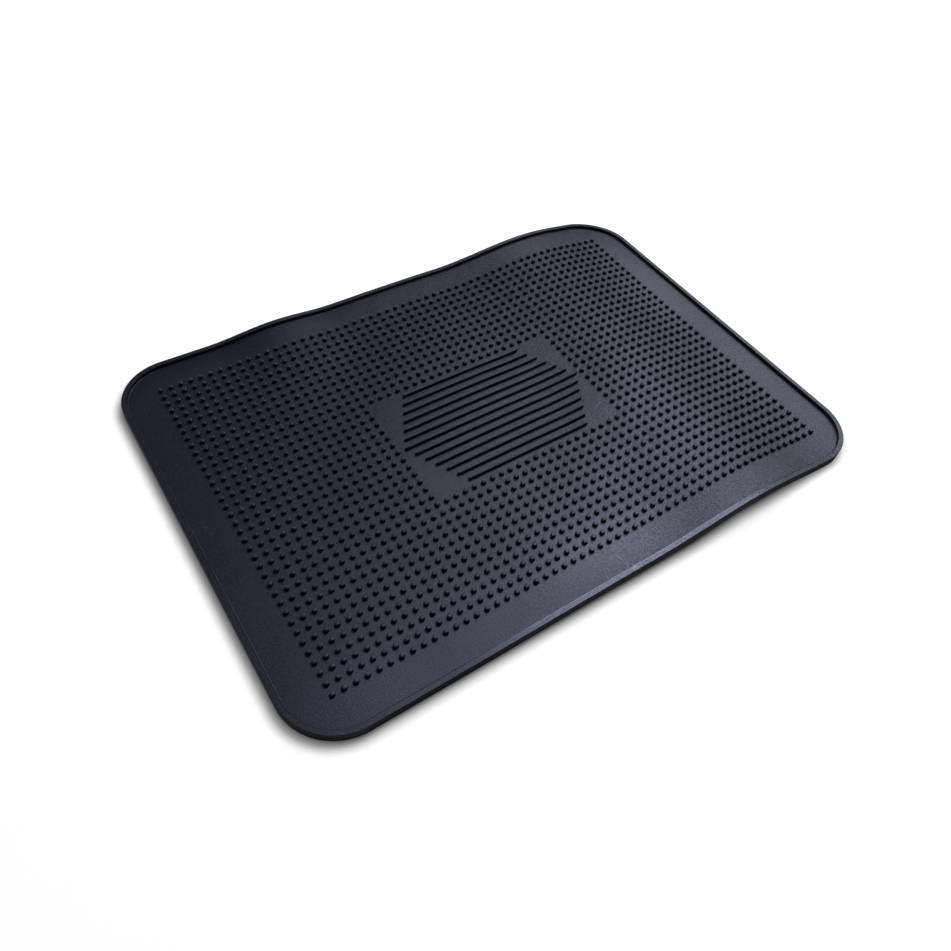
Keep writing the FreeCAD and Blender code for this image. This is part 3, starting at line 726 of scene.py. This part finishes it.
def node_group(name, inputs):
    """A tree that turns the form that it is given into a pattern of copies."""
    group = bpy.data.node_groups.new(name, "GeometryNodeTree")
    group.interface.new_socket("Form", in_out="INPUT", socket_type="NodeSocketGeometry")
    for label, kind in inputs:
        group.interface.new_socket(label, in_out="INPUT", socket_type="NodeSocket" + kind)
    group.interface.new_socket("Pattern", in_out="OUTPUT", socket_type="NodeSocketGeometry")
    return group


def finish_group(group, pattern, material):
    made = add(group, "GeometryNodeSetMaterial", {"Geometry": pattern, "Material": material})
    add(group, "NodeGroupOutput", {"Pattern": made})
    return group


def grown_mesh(form, group, values):
    """Runs a tree on a form and returns what it makes as a plain mesh."""
    holder = new_object("holder", form)
    modifier = holder.modifiers.new("grow", "NODES")
    modifier.node_group = group
    for item in group.interface.items_tree:
        if item.in_out == "INPUT" and item.name in values:
            modifier[item.identifier] = values[item.name]
    mesh = evaluated_mesh(holder)
    holder.modifiers.remove(modifier)
    bpy.data.objects.remove(holder)
    return mesh


def nub_tree():
    """Copies of a nub on a square grid, with a rectangle in the middle of the mat left clear for the ribs."""
    group = node_group("nub_field", [
        ("Pitch", "Float"), ("Columns", "Int"), ("Rows", "Int"), ("Middle Y", "Float"), ("Seat", "Float"),
        ("Clear Columns", "Int"), ("Clear Rows", "Int"), ("Material", "Material")])
    given = add(group, "NodeGroupInput").node.outputs
    spans = []
    for count in ("Columns", "Rows"):
        gaps = add(group, "ShaderNodeMath", {0: given[count], 1: 1.0}, operation="SUBTRACT")
        spans.append(add(group, "ShaderNodeMath", {0: gaps, 1: given["Pitch"]}, operation="MULTIPLY"))
    grid = add(group, "GeometryNodeMeshGrid", {
        "Size X": spans[0], "Size Y": spans[1], "Vertices X": given["Columns"], "Vertices Y": given["Rows"]})
    seat = add(group, "ShaderNodeCombineXYZ", {"Y": given["Middle Y"], "Z": given["Seat"]})
    seated = add(group, "GeometryNodeSetPosition", {"Geometry": grid, "Offset": seat})
    place = add(group, "ShaderNodeSeparateXYZ", {0: add(group, "GeometryNodeInputPosition")}).node.outputs
    inside = []
    for axis, count in (("X", "Clear Columns"), ("Y", "Clear Rows")):
        clear = add(group, "ShaderNodeMath", {0: given[count], 1: given["Pitch"]}, operation="MULTIPLY")
        off = add(group, "ShaderNodeMath", {0: place[axis]}, operation="ABSOLUTE")
        twice = add(group, "ShaderNodeMath", {0: off, 1: 2.0}, operation="MULTIPLY")
        inside.append(add(group, "ShaderNodeMath", {0: twice, 1: clear}, operation="LESS_THAN"))
    both = add(group, "ShaderNodeMath", {0: inside[0], 1: inside[1]}, operation="MULTIPLY")
    cleared = add(group, "GeometryNodeDeleteGeometry", {"Geometry": seated, "Selection": both}, domain="POINT")
    spread = add(group, "GeometryNodeInstanceOnPoints", {"Points": cleared, "Instance": given["Form"]})
    real = add(group, "GeometryNodeRealizeInstances", {"Geometry": spread})
    return finish_group(group, real, given["Material"])


def nub_fields():
    """The nubs in two pieces, the rows on the near side of the mat and those on its far side."""
    draft = NUB_TOP_RADIUS - NUB_RADIUS
    crown = NUB_CROWN_RADIUS
    profile = [(ROOT_RADIUS, -SINK), (0, ROOT_RADIUS), (draft, NUB_HEIGHT - crown)]
    for angle in (30, 60, 90):
        a = math.radians(angle)
        profile.append((draft - crown * (1 - math.cos(a)), NUB_HEIGHT - crown * (1 - math.sin(a))))
    profile.append((draft - crown - SUPPORT, NUB_HEIGHT))
    tree = nub_tree()
    near_rows = NUB_ROWS // 2
    last_row = NUB_ROWS - 1
    for name, first, last in (("near_nubs", 0, near_rows - 1), ("far_nubs", near_rows, last_row)):
        nub = moulded_form("nub", 0, NUB_RADIUS, profile, 3, 0)
        mesh = grown_mesh(nub, tree, {
            "Pitch": PITCH, "Columns": NUB_COLUMNS, "Rows": last - first + 1,
            "Middle Y": ((first + last) / 2 - last_row / 2) * PITCH, "Seat": WEB_TOP,
            "Clear Columns": CLEAR_COLUMNS, "Clear Rows": CLEAR_ROWS, "Material": COVER_RUBBER})
        finish_piece(mesh, name, "cover_rubber", "top_cover")


def rib_tree():
    """Copies of the longest rib in rows; each is shortened in its straight part, by its row's distance out."""
    group = node_group("rib_hexagon", [
        ("Count", "Int"), ("Pitch", "Float"), ("Half Straight", "Float"), ("Shortening", "Float"),
        ("Seat", "Float"), ("Material", "Material")])
    given = add(group, "NodeGroupInput").node.outputs
    gaps = add(group, "ShaderNodeMath", {0: given["Count"], 1: 1.0}, operation="SUBTRACT")
    span = add(group, "ShaderNodeMath", {0: gaps, 1: given["Pitch"]}, operation="MULTIPLY")
    outer_y = add(group, "ShaderNodeMath", {0: span, 1: 0.5}, operation="MULTIPLY")
    first_y = add(group, "ShaderNodeMath", {0: outer_y, 1: -1.0}, operation="MULTIPLY")
    rows = add(group, "GeometryNodeMeshLine", {
        "Count": given["Count"],
        "Start Location": add(group, "ShaderNodeCombineXYZ", {"Y": first_y, "Z": given["Seat"]}),
        "Offset": add(group, "ShaderNodeCombineXYZ", {"Y": given["Pitch"]})})
    row = add(group, "ShaderNodeSeparateXYZ", {0: add(group, "GeometryNodeInputPosition")}, out="Y")
    off_row = add(group, "ShaderNodeMath", {0: row}, operation="ABSOLUTE")
    share_out = add(group, "ShaderNodeMath", {0: off_row, 1: outer_y}, operation="DIVIDE")
    marked = add(group, "GeometryNodeStoreNamedAttribute", {
        "Geometry": rows, "Name": "share_out", "Value": share_out}, data_type="FLOAT", domain="POINT")
    spread = add(group, "GeometryNodeInstanceOnPoints", {"Points": marked, "Instance": given["Form"]})
    real = add(group, "GeometryNodeRealizeInstances", {"Geometry": spread})
    share_out = add(group, "GeometryNodeInputNamedAttribute", {"Name": "share_out"}, data_type="FLOAT")
    along = add(group, "ShaderNodeSeparateXYZ", {0: add(group, "GeometryNodeInputPosition")}, out="X")
    along = add(group, "ShaderNodeMath", {0: along, 1: given["Half Straight"]}, operation="DIVIDE")
    along = add(group, "ShaderNodeClamp", {"Value": along, "Min": -1.0, "Max": 1.0})
    shift = add(group, "ShaderNodeMath", {0: share_out, 1: given["Shortening"]}, operation="MULTIPLY")
    shift = add(group, "ShaderNodeMath", {0: shift, 1: along}, operation="MULTIPLY")
    shift = add(group, "ShaderNodeMath", {0: shift, 1: -1.0}, operation="MULTIPLY")
    placed = add(group, "GeometryNodeSetPosition", {
        "Geometry": real, "Offset": add(group, "ShaderNodeCombineXYZ", {"X": shift})})
    unmarked = add(group, "GeometryNodeRemoveAttribute", {"Geometry": placed, "Name": "share_out"})
    return finish_group(group, unmarked, given["Material"])


def rib_hexagon():
    crown = RIB_CROWN_RADIUS
    wall_top = RIB_HEIGHT - crown
    profile = [(ROOT_RADIUS, -SINK), (ROOT_RADIUS, 0), (ROOT_RADIUS * 0.3, ROOT_RADIUS * 0.3), (0, ROOT_RADIUS)]
    profile += [(0, wall_top - SUPPORT), (0, wall_top)]
    for angle in (22, 45, 68, 90):
        a = math.radians(angle)
        profile.append((-crown * (1 - math.cos(a)), wall_top + crown * math.sin(a)))
    profile.append((-crown - SUPPORT, RIB_HEIGHT))
    end_radius = RIB_WIDTH / 2
    half_straight = RIB_MIDDLE_LENGTH / 2 - end_radius
    rib = moulded_form("rib", half_straight, end_radius, profile, 5, 48)
    mesh = grown_mesh(rib, rib_tree(), {
        "Count": RIB_COUNT, "Pitch": PITCH, "Half Straight": half_straight,
        "Shortening": (RIB_MIDDLE_LENGTH - RIB_OUTER_LENGTH) / 2, "Seat": WEB_TOP, "Material": COVER_RUBBER})
    finish_piece(mesh, "rib_hexagon", "cover_rubber", "top_cover")


# ---- what lies inside, laid on the same wave

LAID_CELL = 9 * MM


def laid_copy(node, slot, material):
    """A CAD node's mesh, cut along a square grid so that it can follow the wave."""
    mesh = bpy.data.meshes.new(node + "_laid")
    form = bmesh.new()
    form.from_mesh(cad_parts[node].data)
    bmesh.ops.remove_doubles(form, verts=form.verts, dist=WELD)
    for axis, normal in enumerate(((1, 0, 0), (0, 1, 0))):
        places = [vertex.co[axis] for vertex in form.verts]
        for line in range(math.ceil(min(places) / LAID_CELL), math.floor(max(places) / LAID_CELL) + 1):
            bmesh.ops.bisect_plane(
                form, geom=[*form.verts, *form.edges, *form.faces], dist=WELD,
                plane_co=Vector(normal) * line * LAID_CELL, plane_no=normal)
    bmesh.ops.triangulate(form, faces=form.faces)
    form.to_mesh(mesh)
    form.free()
    mesh.materials.clear()
    mesh.materials.append(material)
    finish_piece(mesh, node + "_laid", slot, node)


INNER = {
    "insulation_foam": ("foam", foam()),
    "reflector_film": ("film", metallised_film()),
    "carrier_scrim": ("scrim", glass_scrim()),
    "heating_cable": ("cable_silicone", silicone("extruded_red_silicone", "#b9362c", "#c08a80")),
    "cable_tapes": ("tape", TAPE),
    "lead_tapes": ("tape", TAPE),
    "heat_spreader": ("foil", rolled_foil()),
    "splice_crimps": ("crimp_metal", TINNED_BRASS),
    "splice_sleeves": ("sleeve", SLEEVE),
    "far_lead": ("lead_silicone", WHITE_SILICONE),
    "near_lead": ("lead_silicone", WHITE_SILICONE),
    "fuse_lead": ("lead_silicone", WHITE_SILICONE),
    "thermal_fuse": ("fuse_body", EPOXY),
    "fuse_crimps": ("crimp_metal", TINNED_BRASS),
    "cord_terminals": ("crimp_metal", TINNED_BRASS),
    "junction_tray": ("tray_plastic", NYLON),
    "junction_lid": ("tray_plastic", NYLON),
    "cord_gland": ("gland_rubber", gland_rubber()),
}

cover()
back_sheet()
nub_fields()
rib_hexagon()
for node, (slot, material) in INNER.items():
    laid_copy(node, slot, material)


# ---- camera, floor and light

CAMERA_PLACE = (-0.283, -0.330, 0.4615)
CAMERA_AIM = (0.4001, 0.4842, -0.7781)
CAMERA_ROLL = math.radians(7.85)
CAMERA_LENS = 29.86            # in mm, over a sensor 36 mm wide
FLOOR_HALF = 3.0
FLOOR_DROP = 0.2 * MM
FLOOR_WHITE = 0.62
FLOOR_GLOW = 0.63
# the middle of the painted light under the raised near edge
PAINTED_LIGHT_UNDER_EDGE = (155 * MM, -WIDTH / 2, 0)
SWEEP_SIDE = (-0.34, 0.94, 0)
SWEEP_LEVEL = 2.2
ROOM_LEVEL = 0.07
WHITE = (1, 1, 1, 1)


def camera():
    data = bpy.data.cameras.new("camera")
    data.sensor_width = 36
    data.lens = CAMERA_LENS
    data.clip_start = 0.01
    eye = new_object("camera", data)
    eye.location = CAMERA_PLACE
    eye.rotation_mode = "QUATERNION"
    eye.rotation_quaternion = Vector(CAMERA_AIM).to_track_quat("-Z", "Y") @ Quaternion((0, 0, 1), CAMERA_ROLL)
    bpy.context.scene.camera = eye


def soft_box(name, azimuth, elevation, distance, width, height, power):
    """A soft box that faces the mat; azimuth 0 is towards +X and 90 towards +Y, in degrees."""
    data = bpy.data.lights.new(name, "AREA")
    data.shape = "RECTANGLE"
    data.size = width
    data.size_y = height
    data.energy = power
    lamp = new_object(name, data)
    a, e = math.radians(azimuth), math.radians(elevation)
    away = Vector((math.cos(a) * math.cos(e), math.sin(a) * math.cos(e), math.sin(e)))
    lamp.location = away * distance
    lamp.rotation_mode = "QUATERNION"
    lamp.rotation_quaternion = (-away).to_track_quat("-Z", "Y")


def seen_directly(tree, ray):
    """1 where the eye looks at the surface straight or through something clear, else 0."""
    return add(tree, "ShaderNodeMath", {0: ray["Is Camera Ray"], 1: ray["Is Transmission Ray"]}, operation="ADD")


def floor():
    """White paper that glows as far as the eye sees it; near the mat its glow fades out into a painted shadow round
    the mat's outline.
    """
    corners = [(x * FLOOR_HALF, y * FLOOR_HALF, 0) for x, y in ((-1, -1), (1, -1), (1, 1), (-1, 1))]
    material, tree, place = start_material("white_floor")
    mesh = new_mesh("floor", corners, [(0, 1, 2, 3)], material)
    beyond = outside_mat(tree, place)
    # painted light: the glow reaches further in under the near edge, round the place where the mat is raised
    raised = add(tree, "ShaderNodeVectorMath", {0: place, 1: PAINTED_LIGHT_UNDER_EDGE}, out="Value", operation="DISTANCE")
    raised = add(tree, "ShaderNodeMapRange", {
        "Value": raised, "From Min": 50 * MM, "From Max": 100 * MM, "To Min": 2.5 * MM, "To Max": 0.0})
    beyond = add(tree, "ShaderNodeMath", {0: beyond, 1: raised}, operation="ADD")
    # painted shadow: the glow fades out towards the mat's outline, whatever the lamps do, and the glow that the mat's
    # own walls reflect starts further out, a painted shade in those reflections
    clear = add(tree, "ShaderNodeMapRange", {
        "Value": beyond, "From Min": -1 * MM, "From Max": 9 * MM, "To Max": FLOOR_GLOW})
    reflected_glow_with_painted_shade = add(tree, "ShaderNodeMapRange", {
        "Value": beyond, "From Min": 15 * MM, "From Max": 60 * MM, "To Max": FLOOR_GLOW})
    # the lamps don't reach the far floor, so there it glows by itself
    far = add(tree, "ShaderNodeMapRange", {
        "Value": beyond, "From Min": 0.25, "From Max": 0.9, "To Max": 1 - FLOOR_GLOW})
    clear = add(tree, "ShaderNodeMath", {0: clear, 1: far}, operation="ADD")
    ray = add(tree, "ShaderNodeLightPath").node.outputs
    seen = seen_directly(tree, ray)
    # glossy rays see the glow only with its painted shade near the mat
    reflected_glow_with_painted_shade = add(tree, "ShaderNodeMath", {0: ray["Is Glossy Ray"], 1: reflected_glow_with_painted_shade}, operation="MULTIPLY")
    glow = add(tree, "ShaderNodeMath", {0: seen, 1: clear, 2: reflected_glow_with_painted_shade}, operation="MULTIPLY_ADD")
    paper = add(tree, "ShaderNodeBsdfDiffuse", {"Color": (FLOOR_WHITE, FLOOR_WHITE, FLOOR_WHITE, 1)})
    both = add(tree, "ShaderNodeAddShader", {0: paper, 1: add(tree, "ShaderNodeEmission", {"Strength": glow})})
    add(tree, "ShaderNodeOutputMaterial", {"Surface": both})
    plane = new_object("floor", mesh)
    plane.location.z = -FLOOR_DROP


def surroundings():
    """A dim room with a pale sweep low down behind the mat; the eye sees plain white."""
    world = bpy.data.worlds.new("studio")
    world.use_nodes = True
    tree = world.node_tree
    tree.nodes.clear()
    ray = add(tree, "ShaderNodeLightPath").node.outputs
    seen = seen_directly(tree, ray)
    toward = add(tree, "ShaderNodeTexCoord", out="Generated")
    up = add(tree, "ShaderNodeSeparateXYZ", {0: toward}, out="Z")
    low = add(tree, "ShaderNodeMapRange", {
        "Value": up, "From Min": 0.12, "From Max": 0.36, "To Min": 1.0, "To Max": 0.0}, **SMOOTH)
    behind = add(tree, "ShaderNodeVectorMath", {0: toward, 1: SWEEP_SIDE}, out="Value", operation="DOT_PRODUCT")
    behind = add(tree, "ShaderNodeMapRange", {
        "Value": behind, "From Min": 0.2, "From Max": 0.8, "To Max": SWEEP_LEVEL - ROOM_LEVEL}, **SMOOTH)
    level = add(tree, "ShaderNodeMath", {0: low, 1: behind, 2: ROOM_LEVEL}, operation="MULTIPLY_ADD")
    dim = add(tree, "ShaderNodeBackground", {"Color": WHITE, "Strength": level})
    white = add(tree, "ShaderNodeBackground", {"Color": WHITE})
    mixed = add(tree, "ShaderNodeMixShader", {0: seen, 1: dim, 2: white})
    add(tree, "ShaderNodeOutputWorld", {"Surface": mixed})
    bpy.context.scene.world = world


camera()
floor()
surroundings()
soft_box("key", azimuth=27, elevation=54, distance=2.4, width=1.5, height=1.4, power=48)
soft_box("low", azimuth=15, elevation=25, distance=2.4, width=1.2, height=0.6, power=5)

bpy.context.scene.view_settings.view_transform = "Standard"
